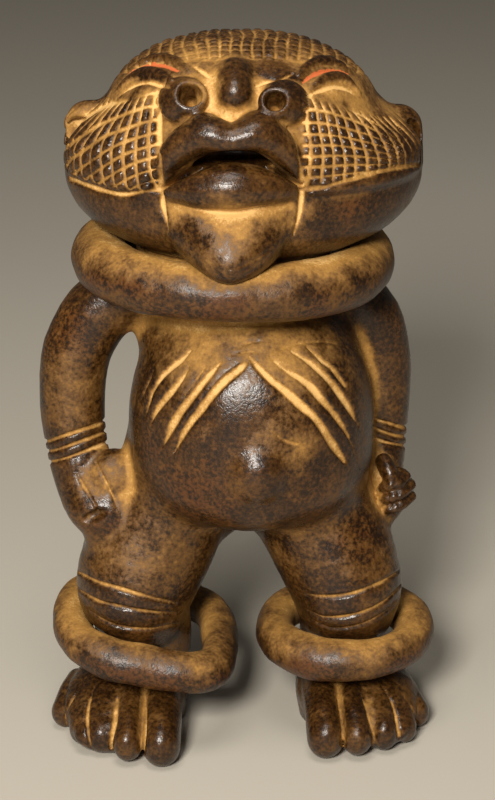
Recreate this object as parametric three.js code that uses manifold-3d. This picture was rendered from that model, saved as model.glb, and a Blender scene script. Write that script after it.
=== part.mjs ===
// A squat standing figure of fired clay with its head thrown back, a loose coil ring
// round the neck and one round each ankle. Millimetres, +Z up, the face towards -Y.
// Left and right are the viewer's, as the figure is looked at from the front.

import * as THREE from "three";
import { mergeVertices } from "three/addons/utils/BufferGeometryUtils.js";
import Module from "manifold-3d";

const wasm = await Module();
wasm.setup();

// Driving dimensions. Places are [across, back, up].
const stand = new THREE.Vector3(0.1, 2.3, 0);

const head = {
  centre: [1, 3, 257],
  crownRise: 57.5,
  jawDrop: 36,
  crownHalfWidth: 61.5,
  cheekHalfWidth: 75,
  widestBelow: 268,
  narrowAbove: 289,
  faceReach: 56,
  napeReach: 55,
  fullness: 2.35,
  jawFullness: 3.6,
};

const cheekPad = { rise: 3, inner: 27, bottom: 258, top: 297, back: 12, fade: 7 };

const trunk = {
  centre: [5, -8, 141],
  chestRise: 64,
  bellyDrop: 40,
  halfWidth: 53.7,
  bellyReach: 50,
  backReach: 41,
  chestFullness: 2.55,
  bellyFullness: 2.8,
};

const neck = { halfWidth: 39.5, halfDepth: 37.5, bottom: 180, top: 232, centre: [-3, 2] };

// A limb is a list of stations: [across, back, up, half width, half depth].
const leftArm = [
  [-36, 3, 196, 14, 14],
  [-57, 1, 187, 15, 15],
  [-70.5, 0, 168, 15, 14.5],
  [-74, -1, 148, 14.3, 14],
  [-70.5, -6, 126, 12.8, 12.5],
  [-65, -13, 108, 12.5, 11],
  [-61, -18, 95, 10, 9],
];
const rightArm = [
  [36, 8, 196, 13, 14],
  [53, 12, 186, 14, 14],
  [60, 17, 168, 13.6, 13.5],
  [61.8, 18, 148, 13, 13],
  [61, 15, 127, 12.6, 12],
  [65, 9, 110, 11.5, 10.5],
  [67, 5, 95, 9, 8],
];
const leftLeg = [
  [-26, 2, 122, 26, 28],
  [-33, -3, 104, 29, 30],
  [-38, -6, 90, 29, 29],
  [-45, -11, 74, 27.5, 27],
  [-47.5, -13, 63, 24.5, 25.5],
  [-44, -8, 50, 18.5, 18.5],
  [-43, -5, 38, 17.6, 17.5],
  [-44, -5, 20, 20, 20],
  [-45, -5, 2, 20, 22],
];
const rightLeg = [
  [28, 4, 122, 26, 28],
  [34, -1, 104, 29, 30],
  [38.5, -4, 92, 28.5, 29],
  [44.8, -9, 76, 26.2, 27],
  [48, -11, 64, 24.2, 25.5],
  [46.5, -7, 51, 19.5, 19.5],
  [45, -4, 38, 17.6, 17.5],
  [46, -4, 20, 20, 20],
  [47, -4, 2, 20, 22],
];
const limbSquareness = 6;

// A foot's body runs from the heel to the roots of the toes, and a toe is
// [root across, root back, root up, tip across, tip back, tip up, half width].
const leftFoot = {
  body: [
    [-45, 26, 7, 16, 13],
    [-47, 6, 13, 21, 18],
    [-53, -16, 13, 27, 16],
    [-51, -42, 9, 23, 9],
  ],
  toes: [
    [-35, -18, 19, -34.5, -64, 7, 8.6],
    [-48, -20, 20, -50, -61, 7, 6.4],
    [-58, -16, 17, -62.5, -52, 6.5, 5.6],
    [-66, -12, 14, -72, -43.5, 6, 5.6],
    [-72, -4, 11, -81.5, -27, 6, 6],
  ],
};
const rightFoot = {
  body: [
    [45, 26, 7, 16, 13],
    [48, 7, 13, 21, 18],
    [54, -14, 13, 27, 16],
    [53, -38, 9, 23, 9],
  ],
  toes: [
    [36, -16, 19, 38.5, -57, 7, 8.2],
    [49, -18, 20, 52.5, -56, 7, 6.6],
    [60, -14, 17, 65, -50, 6.5, 6.2],
    [68, -10, 14, 75, -42, 6, 5.6],
    [73, -4, 11, 83, -26.5, 6, 5.6],
  ],
};

// A ring's plane passes through its centre and rises by slope across and back.
const neckRing = {
  centre: [-3.2, 2, 216.5],
  reach: [56.4, 54],
  thickness: 25,
  slope: [-0.03, 0.01],
  squareness: 2.1,
};
const leftAnklet = {
  centre: [-42.5, -8.5, 44.6],
  reach: [33, 35],
  thickness: 18.6,
  slope: [-0.15, 0.05],
  squareness: 2.5,
};
const rightAnklet = {
  centre: [47.3, -6.5, 43.4],
  reach: [31.5, 32.5],
  thickness: 18.8,
  slope: [0.01, 0.02],
  squareness: 2.1,
};

const earRadii = [11, 8, 10.5];
const ears = [
  { centre: [-65.5, 5, 274], outward: -1 },
  { centre: [67.5, 6, 273.5], outward: 1 },
];
const earHollow = { radius: 6.5, outset: 5, front: -7, drop: 2 };

const nose = { centre: [-2.1, -35, 298.5], radii: [6, 6.5, 11.5], lean: -33 };
const nostrils = [
  { centre: [-20.7, -37, 295.5], outer: 9.6 },
  { centre: [14.5, -38, 293.5], outer: 9.4 },
];
const nostrilHole = { radius: 4.3, depth: 5 };
const nostrilDepth = 7;
const faceLean = 35;

// Eyelids: each crescent is a bent roll, [across, back, up, half width, half depth].
const eyelids = [
  [
    [-45, -20, 298, 1.6, 1.6],
    [-34, -24, 303.5, 2.4, 2.4],
    [-24, -29, 300, 1.6, 1.6],
  ],
  [
    [-52, -22, 289, 1.6, 1.6],
    [-39, -30, 296.5, 2.4, 2.4],
    [-27, -33, 295, 1.6, 1.6],
  ],
  [
    [28, -28, 300, 1.6, 1.6],
    [37, -24, 302, 2.4, 2.4],
    [48, -19, 297, 1.6, 1.6],
  ],
  [
    [28, -33, 295, 1.6, 1.6],
    [41, -29, 295.5, 2.4, 2.4],
    [53, -22, 288, 1.6, 1.6],
  ],
];

const muzzle = { centre: [-2.5, -39, 268], radii: [28, 15, 22] };
const upperLip = [
  [-33, -42, 260, 5, 6],
  [-21, -51, 274, 8, 9],
  [-2.5, -54, 281, 8.5, 9],
  [15, -52, 275, 8, 9],
  [27, -42, 261, 5, 6],
];
const lipLobes = [
  { centre: [-12.5, -49, 282.5], radii: [11, 10, 11] },
  { centre: [8.5, -49, 282.5], radii: [11, 10, 11] },
];
const lowerLip = [
  [-33, -44, 258, 5, 5],
  [-18, -58, 261, 8, 8],
  [-3, -62, 262, 8.6, 9],
  [13, -58, 261, 8, 8],
  [28, -44, 259, 5, 5],
];
const mouth = { centre: [-2.5, -62, 270.5], radii: [17, 12, 3.2] };
const chin = [
  [-2, -36, 268, 26, 14],
  [-2, -48, 254, 27, 17],
  [-1.5, -58, 241, 20, 14],
  [-0.6, -69, 227, 7, 7],
];

const yoke = { centre: [0, 5, 178], radii: [53, 32, 25] };
const buttocks = [
  { centre: [-20, 15, 101], radii: [27, 22, 23] },
  { centre: [24, 16, 101], radii: [27, 22, 23] },
];
const navel = { centre: [7.7, -53, 134], radii: [7.5, 8, 7.5] };
const handBacks = [
  { centre: [-66, -13, 110], radii: [14, 11, 12.5] },
  { centre: [-56, -17, 115], radii: [14, 11, 13] },
  { centre: [-64, -19, 102], radii: [9, 7, 8] },
  { centre: [67, 7, 106], radii: [10, 10, 11.5] },
];

const clay = { colour: 0x4a3524, roughness: 0.5, metalness: 0 };
const ringClay = { colour: 0x553c28, roughness: 0.55, metalness: 0 };

// Round numbers of facets, so that the whole figure stays a light model.
const facets = {
  head: [32, 19],
  trunk: [26, 13],
  limb: [14, 12],
  round: [12, 7],
  toe: [8, 6],
  small: [10, 6],
  lip: [8, 8],
  ring: [30, 8],
};

// Turns a closed geometry into a solid that can be joined and cut.
function solid(geometry) {
  geometry.deleteAttribute("normal");
  geometry.deleteAttribute("uv");
  const merged = mergeVertices(geometry, 1e-4);
  const mesh = new wasm.Mesh({
    numProp: 3,
    vertProperties: new Float32Array(merged.attributes.position.array),
    triVerts: new Uint32Array(merged.index.array),
  });
  return new wasm.Manifold(mesh);
}

function joined(solids) {
  return solids.reduce((whole, next) => whole.add(next));
}

function smoothStep(low, high, value) {
  return THREE.MathUtils.smoothstep(value, low, high);
}

// How wide a full shape still is at a share of its half height; 2 is a plain ellipse.
function fullnessAt(share, squareness) {
  return (1 - Math.min(1, Math.abs(share)) ** squareness) ** (1 / squareness);
}

// An egg with its own radii, leaned about the across axis.
function egg({ centre, radii, lean = 0 }, [sides, rows] = facets.small) {
  const geometry = new THREE.SphereGeometry(1, sides, rows);
  geometry.scale(...radii);
  geometry.rotateX(THREE.MathUtils.degToRad(lean));
  geometry.translate(...centre);
  return solid(geometry);
}

// Moves each point of a unit ball, whose rows run round the upright axis.
function formedBall([sides, rows], place) {
  const geometry = new THREE.SphereGeometry(1, sides, rows);
  geometry.rotateX(Math.PI / 2);
  const points = geometry.attributes.position;
  const point = new THREE.Vector3();
  for (let i = 0; i < points.count; i += 1) {
    point.fromBufferAttribute(points, i);
    points.setXYZ(i, ...place(point));
  }
  return solid(geometry);
}

// A roll of clay bent along stations, with round ends: a long egg whose radius follows
// the stations' half widths and half depths. On a roll that runs across the figure the
// first of the two is measured upward.
function roll(stations, [sides, rows] = facets.limb) {
  const path = new THREE.CatmullRomCurve3(stations.map(([x, y, z]) => new THREE.Vector3(x, y, z)));
  const girth = new THREE.CatmullRomCurve3(stations.map(([, , , w, d]) => new THREE.Vector3(w, d, 0)));
  const chord = path.getPoint(1).sub(path.getPoint(0)).normalize();
  const runsAcross = Math.abs(chord.x) > 0.7;
  const reference = runsAcross ? new THREE.Vector3(0, 0, 1) : new THREE.Vector3(1, 0, 0);
  const geometry = new THREE.SphereGeometry(1, sides, rows);
  const points = geometry.attributes.position;
  for (let i = 0; i < points.count; i += 1) {
    const along = THREE.MathUtils.clamp(points.getY(i), -1, 1);
    const reach = Math.hypot(points.getX(i), points.getZ(i)) || 1;
    const fullness = fullnessAt(along, limbSquareness);
    const place = (1 - along) / 2;
    const tangent = path.getTangent(place);
    const side = reference.clone().addScaledVector(tangent, -reference.dot(tangent)).normalize();
    const depth = tangent.clone().cross(side);
    const size = girth.getPoint(place);
    const centre = path.getPoint(place);
    centre.addScaledVector(side, (points.getX(i) / reach) * fullness * size.x);
    centre.addScaledVector(depth, (points.getZ(i) / reach) * fullness * size.y);
    points.setXYZ(i, centre.x, centre.y, centre.z);
  }
  return solid(geometry);
}

// The head is a full, slightly square ball: narrow at the crown, wide at the cheeks,
// with a pad raised on each cheek above the jaw.
function headBall() {
  const [cx, cy, cz] = head.centre;
  return formedBall(facets.head, (point) => {
    const rise = point.z > 0 ? head.crownRise : head.jawDrop;
    const reach = Math.hypot(point.x, point.y) || 1;
    const inFront = point.z < 0 ? Math.max(0, -point.y / reach) ** 2 : 0;
    const squareness = THREE.MathUtils.lerp(head.fullness, head.jawFullness, inFront);
    const fullness = fullnessAt(point.z, squareness);
    const z = cz + rise * point.z;
    const narrowing = smoothStep(head.widestBelow, head.narrowAbove, z);
    const halfWidth = THREE.MathUtils.lerp(head.cheekHalfWidth, head.crownHalfWidth, narrowing);
    const halfDepth = point.y < 0 ? head.faceReach : head.napeReach;
    const x = (point.x / reach) * fullness * halfWidth;
    const y = (point.y / reach) * fullness * halfDepth;
    const { rise: padRise, inner, bottom, top, back, fade } = cheekPad;
    const pad =
      smoothStep(inner, inner + fade, Math.abs(x)) *
      smoothStep(bottom - fade / 2, bottom + fade / 2, z) *
      (1 - smoothStep(top - fade, top, z)) *
      (1 - smoothStep(back - fade, back + fade, y));
    const swell = 1 + (pad * padRise) / Math.hypot(x, y, 1);
    return [cx + x * swell, cy + y * swell, z];
  });
}

function ear({ centre, outward }) {
  const lug = egg({ centre, radii: earRadii });
  const hollow = egg({
    centre: [centre[0] + outward * earHollow.outset, centre[1] + earHollow.front, centre[2] - earHollow.drop],
    radii: [earHollow.radius, earHollow.radius, earHollow.radius],
  });
  return lug.subtract(hollow);
}

function nostril({ centre, outer }) {
  return egg({ centre, radii: [outer, nostrilDepth, outer], lean: -faceLean });
}

function nostrilCut({ centre }) {
  const lean = THREE.MathUtils.degToRad(faceLean);
  return egg({
    centre: [
      centre[0],
      centre[1] - nostrilHole.depth * Math.cos(lean),
      centre[2] + nostrilHole.depth * Math.sin(lean),
    ],
    radii: [nostrilHole.radius, nostrilHole.depth * 2, nostrilHole.radius],
    lean: -faceLean,
  });
}

function headWithFace() {
  const features = [
    headBall(),
    ...ears.map(ear),
    egg(nose),
    ...nostrils.map(nostril),
    ...eyelids.map((lid) => roll(lid, facets.small)),
    egg(muzzle),
    roll(upperLip, facets.lip),
    ...lipLobes.map((lobe) => egg(lobe)),
    roll(lowerLip, facets.lip),
    roll(chin, facets.lip),
  ];
  const cuts = [egg(mouth), ...nostrils.map(nostrilCut)];
  return joined(features).subtract(joined(cuts));
}

// The trunk is a pot-bellied egg, fuller in front than behind.
function trunkBall() {
  const [cx, cy, cz] = trunk.centre;
  return formedBall(facets.trunk, (point) => {
    const rise = point.z > 0 ? trunk.chestRise : trunk.bellyDrop;
    const fullness = fullnessAt(point.z, point.z > 0 ? trunk.chestFullness : trunk.bellyFullness);
    const reach = Math.hypot(point.x, point.y) || 1;
    const halfDepth = point.y < 0 ? trunk.bellyReach : trunk.backReach;
    return [
      cx + (point.x / reach) * fullness * trunk.halfWidth,
      cy + (point.y / reach) * fullness * halfDepth,
      cz + rise * point.z,
    ];
  });
}

function neckColumn() {
  const { halfWidth, halfDepth, bottom, top, centre } = neck;
  const column = new THREE.CylinderGeometry(1, 1, top - bottom, facets.trunk[0]);
  column.rotateX(Math.PI / 2);
  column.scale(halfWidth, halfDepth, 1);
  column.translate(centre[0], centre[1], (bottom + top) / 2);
  return solid(column);
}

function foot({ body, toes }) {
  const toeRolls = toes.map(([rx, ry, rz, tx, ty, tz, halfWidth]) => {
    const mid = [(rx + tx) / 2, (ry + ty) / 2, (rz + tz) / 2 + 1.5];
    const height = halfWidth + 2;
    return roll(
      [
        [rx, ry, rz, halfWidth, height],
        [...mid, halfWidth, height],
        [tx, ty, tz, halfWidth, height],
      ],
      facets.toe,
    );
  });
  return joined([roll(body, facets.limb), ...toeRolls]);
}

// Everything below the ground is cut away, which leaves flat soles.
function cutAtGround(body) {
  const size = 400;
  const ground = new THREE.BoxGeometry(size, size, size);
  ground.translate(0, 0, -size / 2);
  return body.subtract(solid(ground));
}

function figureBody() {
  const limbs = [leftArm, rightArm, leftLeg, rightLeg].map((stations) => roll(stations));
  const rounds = [yoke, ...buttocks].map((part) => egg(part, facets.round));
  const small = [navel, ...handBacks].map((part) => egg(part));
  const feet = [leftFoot, rightFoot].map(foot);
  return cutAtGround(
    joined([headWithFace(), neckColumn(), trunkBall(), ...rounds, ...small, ...limbs, ...feet]),
  );
}

// A closed coil of clay: a circle of clay carried round a slightly square loop.
function ring({ centre, reach, thickness, slope, squareness }) {
  const [around, section] = facets.ring;
  const geometry = new THREE.TorusGeometry(1, 0.25, section, around);
  const points = geometry.attributes.position;
  for (let i = 0; i < points.count; i += 1) {
    const angle = Math.atan2(points.getY(i), points.getX(i));
    const out = (Math.hypot(points.getX(i), points.getY(i)) - 1) / 0.25;
    const up = points.getZ(i) / 0.25;
    const loop = (Math.abs(Math.cos(angle)) ** squareness + Math.abs(Math.sin(angle)) ** squareness)
      ** (-1 / squareness);
    const x = Math.cos(angle) * (reach[0] * loop + (out * thickness) / 2);
    const y = Math.sin(angle) * (reach[1] * loop + (out * thickness) / 2);
    const z = (up * thickness) / 2 + slope[0] * x + slope[1] * y;
    points.setXYZ(i, centre[0] + x, centre[1] + y, centre[2] + z);
  }
  return solid(geometry);
}

function named(name, body, { colour, roughness, metalness }) {
  const { vertProperties, triVerts } = body.getMesh();
  const geometry = new THREE.BufferGeometry();
  geometry.setAttribute("position", new THREE.BufferAttribute(vertProperties, 3));
  geometry.setIndex(new THREE.BufferAttribute(triVerts, 1));
  const mesh = new THREE.Mesh(
    geometry,
    new THREE.MeshStandardMaterial({ color: colour, roughness, metalness }),
  );
  mesh.name = name;
  return mesh;
}

const group = new THREE.Group();
group.add(named("figure", figureBody(), clay));
group.add(named("neck_ring", ring(neckRing), ringClay));
group.add(named("left_anklet", ring(leftAnklet), ringClay));
group.add(named("right_anklet", ring(rightAnklet), ringClay));
group.position.copy(stand);

export default group;
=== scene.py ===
# A squat standing figure of fired clay, its head thrown back, with a loose coil ring round the
# neck and one round each ankle. The whole clay body is worked up in a block of small cubes, each
# holding its distance to the skin, because one hand-built body runs smoothly from part to part:
# grids of two parameters would show their seams at every limb, lip and toe.
import math
import time

import bmesh
import bpy
import numpy as np
import openvdb
from mathutils import Euler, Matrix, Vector


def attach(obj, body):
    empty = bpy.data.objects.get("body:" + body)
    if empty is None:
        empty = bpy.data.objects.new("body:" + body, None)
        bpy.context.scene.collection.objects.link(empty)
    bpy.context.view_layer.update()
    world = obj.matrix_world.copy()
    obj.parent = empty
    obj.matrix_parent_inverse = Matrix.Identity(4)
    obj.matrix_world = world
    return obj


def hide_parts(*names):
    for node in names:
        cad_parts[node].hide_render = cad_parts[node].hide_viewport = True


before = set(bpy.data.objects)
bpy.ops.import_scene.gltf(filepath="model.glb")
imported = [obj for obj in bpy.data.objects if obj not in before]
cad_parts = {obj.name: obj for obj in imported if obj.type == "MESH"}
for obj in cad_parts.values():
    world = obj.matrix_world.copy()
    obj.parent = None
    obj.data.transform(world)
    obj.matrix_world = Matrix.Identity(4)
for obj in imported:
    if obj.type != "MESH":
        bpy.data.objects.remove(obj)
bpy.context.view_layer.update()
started = time.time()


def report(stage):
    print(f"{stage}: {time.time() - started:.1f} s")


# The clay is modelled in millimetres about a point between the feet, and then stood in the frame.
studio = {
    "millimetre": 0.001,
    "stand": (0.1, 2.3, 0.0),  # how far the figure is shifted to its place in the frame
    "cube": 0.6,  # edge of one cube of the clay block
    "triangles": 190000,
    "quickTriangles": 90000,
}

# The picture's camera: it looks down at the figure from the front, in the same millimetres.
photo = {
    "width": 495,
    "height": 800,
    "pitch": 20.0,
    "distance": 1000.0,
    "focal": 2266.0,  # pixels
    "aimAcross": 3.3,
    "aimHeight": 151.0,
}
pitchSine = math.sin(math.radians(photo["pitch"]))
pitchCosine = math.cos(math.radians(photo["pitch"]))
eyePlace = np.array([
    photo["aimAcross"],
    -photo["distance"] * pitchCosine,
    photo["aimHeight"] + photo["distance"] * pitchSine,
])


def smoothStep(low, high, value):
    share = np.clip((value - low) / (high - low), 0.0, 1.0)
    return share * share * (3.0 - 2.0 * share)


# Where a place in space shows in the picture: its height over the line of sight and its distance
# along that line, scaled by the focal length.
def seenAt(x, y, z):
    rise = z - photo["aimHeight"]
    away = photo["distance"] + y * pitchCosine - rise * pitchSine
    across = photo["width"] / 2 + photo["focal"] * (x - photo["aimAcross"]) / away
    down = photo["height"] / 2 - photo["focal"] * (y * pitchSine + rise * pitchCosine) / away
    return across, down


# The direction from the camera through pixels of the picture.
def sightLines(pixels):
    across = (pixels[:, 0] - photo["width"] / 2) / photo["focal"]
    up = (photo["height"] / 2 - pixels[:, 1]) / photo["focal"]
    lines = np.stack([across, pitchCosine + up * pitchSine, up * pitchCosine - pitchSine], axis=1)
    return lines / np.linalg.norm(lines, axis=1)[:, None]


# Turns stations [pixel across, pixel down, how far back, ...] into [x, y, z, ...].
def seenStations(stations):
    stations = np.array(stations, dtype=float)
    lines = sightLines(stations[:, :2])
    reach = (stations[:, 2] - eyePlace[1]) / lines[:, 1]
    places = eyePlace + lines * reach[:, None]
    return np.concatenate([places, stations[:, 3:]], axis=1)


# A smooth curve through stations: each stretch is a cubic whose slopes are those of its
# neighbours' chords, so every column (place, width, depth) runs on smoothly.
def smoothCurve(stations, steps):
    stations = np.array(stations, dtype=float)
    lead, trail = 2 * stations[:1] - stations[1:2], 2 * stations[-1:] - stations[-2:-1]
    ends = np.concatenate([lead, stations, trail])
    before, first, second, after = ends[:-3], ends[1:-2], ends[2:-1], ends[3:]
    t = (np.arange(steps) / steps)[:, None, None]
    curve = 0.5 * (
        2 * first
        + (second - before) * t
        + (2 * before - 5 * first + 4 * second - after) * t**2
        + (3 * first - 3 * second + after - before) * t**3
    )
    curve = curve.transpose(1, 0, 2).reshape(-1, stations.shape[1])
    return np.concatenate([curve, stations[-1:]])


class ClayBlock:
    farAway = 12.0

    def __init__(self, low, high, cube):
        self.cube = cube
        self.low = np.array(low, dtype=float)
        self.counts = np.ceil((np.array(high) - self.low) / cube).astype(int) + 1
        self.field = np.full(self.counts, self.farAway, dtype=np.float32)
        self.plain = None  # the field before anything is pressed into it

    # The cubes between two corners, and the x, y and z of their centres as open grids.
    def window(self, low, high, margin):
        first = np.clip(np.floor((np.array(low) - margin - self.low) / self.cube), 0, self.counts - 1)
        last = np.clip(np.ceil((np.array(high) + margin - self.low) / self.cube), 0, self.counts - 1)
        cubes = tuple(slice(int(a), int(b) + 1) for a, b in zip(first, last))
        lines = [
            (self.low[axis] + self.cube * np.arange(c.start, c.stop)).astype(np.float32)
            for axis, c in enumerate(cubes)
        ]
        return cubes, np.meshgrid(*lines, indexing="ij", sparse=True)

    # Joins a form on, with the clay smoothed over the join: the lesser distance, less a quarter
    # of the blend times the square of how near the two are to each other.
    def add(self, form, blend=2.0):
        cubes, axes = self.window(form["low"], form["high"], blend + 3 * self.cube)
        here, there = self.field[cubes], form["distance"](*axes)
        near = np.maximum(blend - np.abs(here - there), 0) / blend
        self.field[cubes] = np.minimum(here, there) - near * near * blend / 4

    # Cuts a form out, with the edge softened in the same way.
    def cut(self, form, blend=1.0):
        cubes, axes = self.window(form["low"], form["high"], blend + 3 * self.cube)
        here, there = self.field[cubes], -form["distance"](*axes)
        near = np.maximum(blend - np.abs(here - there), 0) / blend
        self.field[cubes] = np.maximum(here, there) + near * near * blend / 4

    # Presses the skin in by a depth worked out at each cube; a depth under nothing raises it.
    def press(self, low, high, depth, margin=3.0):
        cubes, axes = self.window(low, high, margin)
        self.field[cubes] += depth(*axes).astype(np.float32)

    # Distances at any places, by the eight cubes round each.
    def sample(self, places, field=None, coarse=1):
        field = self.field if field is None else field
        spots = (places - self.low) / (self.cube * coarse)
        spots = np.clip(spots, 0, np.array(field.shape) - 1.001)
        corner = spots.astype(int)
        share = spots - corner
        total = np.zeros(len(places))
        for step in np.ndindex(2, 2, 2):
            weight = np.prod(np.where(step, share, 1 - share), axis=1)
            total += weight * field[tuple((corner + step).T)]
        return total

    # Where lines of sight through pixels meet the clay: the first step along each that is inside,
    # or the step nearest to the clay where a line passes beside it.
    def skinAt(self, pixels):
        lines = sightLines(np.array(pixels, dtype=float))
        reach = np.arange(photo["distance"] - 260, photo["distance"] + 140, 0.4)
        places = eyePlace + lines[:, None, :] * reach[None, :, None]
        field = self.plain if self.plain is not None else self.field
        depths = self.sample(places.reshape(-1, 3), field).reshape(len(lines), -1)
        inside = depths < 0
        first = np.where(inside.any(axis=1), inside.argmax(axis=1), depths.argmin(axis=1))
        return places[np.arange(len(lines)), first]


def box(places, reach):
    places = np.atleast_2d(places)
    reach = np.atleast_1d(reach)[:, None] if np.ndim(reach) == 1 else reach
    return (places - reach).min(axis=0), (places + reach).max(axis=0)


# An egg: q is how many radii out a place lies, and its distance is q(q - 1) over q's gradient.
def egg(centre, radii, turn=(0, 0, 0)):
    across, back, up = np.array(Euler([math.radians(a) for a in turn]).to_matrix()).T

    def distance(x, y, z):
        x, y, z = x - centre[0], y - centre[1], z - centre[2]
        parts = [(a[0] * x + a[1] * y + a[2] * z, r) for a, r in zip((across, back, up), radii)]
        outness = np.sqrt(sum((part / r) ** 2 for part, r in parts))
        gradient = np.sqrt(sum((part / r**2) ** 2 for part, r in parts))
        return outness * (outness - 1) / np.maximum(gradient, 1e-6)

    low, high = box(np.array(centre, dtype=float), max(radii))
    return {"low": low, "high": high, "distance": distance}


# A bent roll of clay through stations [x, y, z, half width, half depth]: round slices, flattened
# across, along a smooth curve. A place belongs to its nearest slice, and its distance is that of an
# ellipse there. On a roll that runs across the figure the half width is measured upward.
def roll(stations, steps=4):
    curve = smoothCurve(stations, steps)
    chord = curve[-1, :3] - curve[0, :3]
    upright = abs(chord[0]) > 0.7 * np.linalg.norm(chord)
    side = np.array([0.0, 0.0, 1.0] if upright else [1.0, 0.0, 0.0])

    def distance(x, y, z):
        nearest = None
        for start, end in zip(curve[:-1], curve[1:]):
            along = end[:3] - start[:3]
            share = (x - start[0]) * along[0] + (y - start[1]) * along[1] + (z - start[2]) * along[2]
            share = np.clip(share / max(along @ along, 1e-9), 0, 1)
            gap = [axis - start[i] - share * along[i] for i, axis in enumerate((x, y, z))]
            tangent = along / max(np.linalg.norm(along), 1e-9)
            level = side - (side @ tangent) * tangent
            level = level / np.linalg.norm(level)
            width = start[3] + share * (end[3] - start[3])
            depth = start[4] + share * (end[4] - start[4])
            wide = gap[0] * level[0] + gap[1] * level[1] + gap[2] * level[2]
            past = gap[0] * tangent[0] + gap[1] * tangent[1] + gap[2] * tangent[2]
            deep = np.maximum(gap[0] ** 2 + gap[1] ** 2 + gap[2] ** 2 - wide**2 - past**2, 0)
            end = np.minimum(width, depth)
            outness = np.sqrt((wide / width) ** 2 + deep / depth**2 + (past / end) ** 2)
            gradient = np.sqrt(wide**2 / width**4 + deep / depth**4 + past**2 / end**4)
            here = outness * (outness - 1) / np.maximum(gradient, 1e-6)
            nearest = here if nearest is None else np.minimum(nearest, here)
        return nearest

    low, high = box(curve[:, :3], curve[:, 3:5].max(axis=1))
    return {"low": low, "high": high, "distance": distance}


# A full, slightly square ball: q is how far out a place lies in its level ellipse and s its share
# of the height, and the skin is where q^p + s^p = 1. Distances are measured towards the centre.
def fullBall(centre, halfWidth, front, behind, rise, drop, fullness):
    def distance(x, y, z):
        x, y, z = x - centre[0], y - centre[1], z - centre[2]
        outness = np.hypot(x / halfWidth(z + centre[2]), y / np.where(y < 0, front, behind))
        height = np.abs(z) / np.where(z > 0, rise, drop)
        power = fullness(x, y, z)
        ratio = (outness**power + height**power) ** (1 / power)
        return np.sqrt(x * x + y * y + z * z) * (1 - 1 / np.maximum(ratio, 1e-3))

    wide = float(np.max(halfWidth(np.array([centre[2]]))))
    low = np.array(centre, dtype=float) - [wide, front, drop]
    high = np.array(centre, dtype=float) + [wide, behind, rise]
    return {"low": low, "high": high, "distance": distance}


head = {
    "centre": (1.6, 3.0, 257.0),
    "crownRise": 56.6,
    "jawDrop": 36.0,
    "crownHalfWidth": 62.0,
    "crownLean": (0.007, 0.004),  # how much squarer the crown runs to its left and right, a mm
    "cheekHalfWidth": 75.9,
    "narrowing": (268.0, 289.0),  # heights between which the cheeks narrow to the crown
    "faceReach": 56.0,
    "napeReach": 55.0,
    "fullness": 2.35,
    "jawFullness": 3.6,
    "pad": {"rise": 3.4, "sideRise": 0.5, "axis": -3.8, "inner": 27.5, "bottom": 257,
            "top": 300, "topFall": 0.42, "back": 13, "fade": 7},
}


def headBall():
    def halfWidth(z):
        return head["cheekHalfWidth"] + smoothStep(*head["narrowing"], z) * (
            head["crownHalfWidth"] - head["cheekHalfWidth"])

    def fullness(x, y, z):
        inFront = np.clip(-y / np.maximum(np.hypot(x, y), 1e-3), 0, 1) ** 2
        left, right = head["crownLean"]
        lean = np.where(z > 0, np.where(x < 0, -left * x, right * x), 0)
        jaw = np.where(z < 0, inFront, 0) * (head["jawFullness"] - head["fullness"])
        return head["fullness"] + lean + jaw

    ball = fullBall(head["centre"], halfWidth, head["faceReach"], head["napeReach"],
                    head["crownRise"], head["jawDrop"], fullness)
    plain = ball["distance"]
    pad = head["pad"]

    # The cheek pads stand proud of the ball, most in front, and end at the groove over the jaw.
    def distance(x, y, z):
        aside = np.abs(x - pad["axis"])
        top = pad["top"] - pad["topFall"] * (aside - pad["inner"])
        cheek = (
            smoothStep(pad["inner"], pad["inner"] + pad["fade"], aside)
            * smoothStep(pad["bottom"] - 2, pad["bottom"] + 3, z)
            * (1 - smoothStep(top - pad["fade"], top, z))
            * (1 - smoothStep(pad["back"] - pad["fade"], pad["back"] + pad["fade"], y))
        )
        rise = pad["rise"] + (pad["sideRise"] - pad["rise"]) * smoothStep(-35, -5, y)
        return plain(x, y, z) - rise * cheek

    return ball | {"distance": distance}


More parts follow.
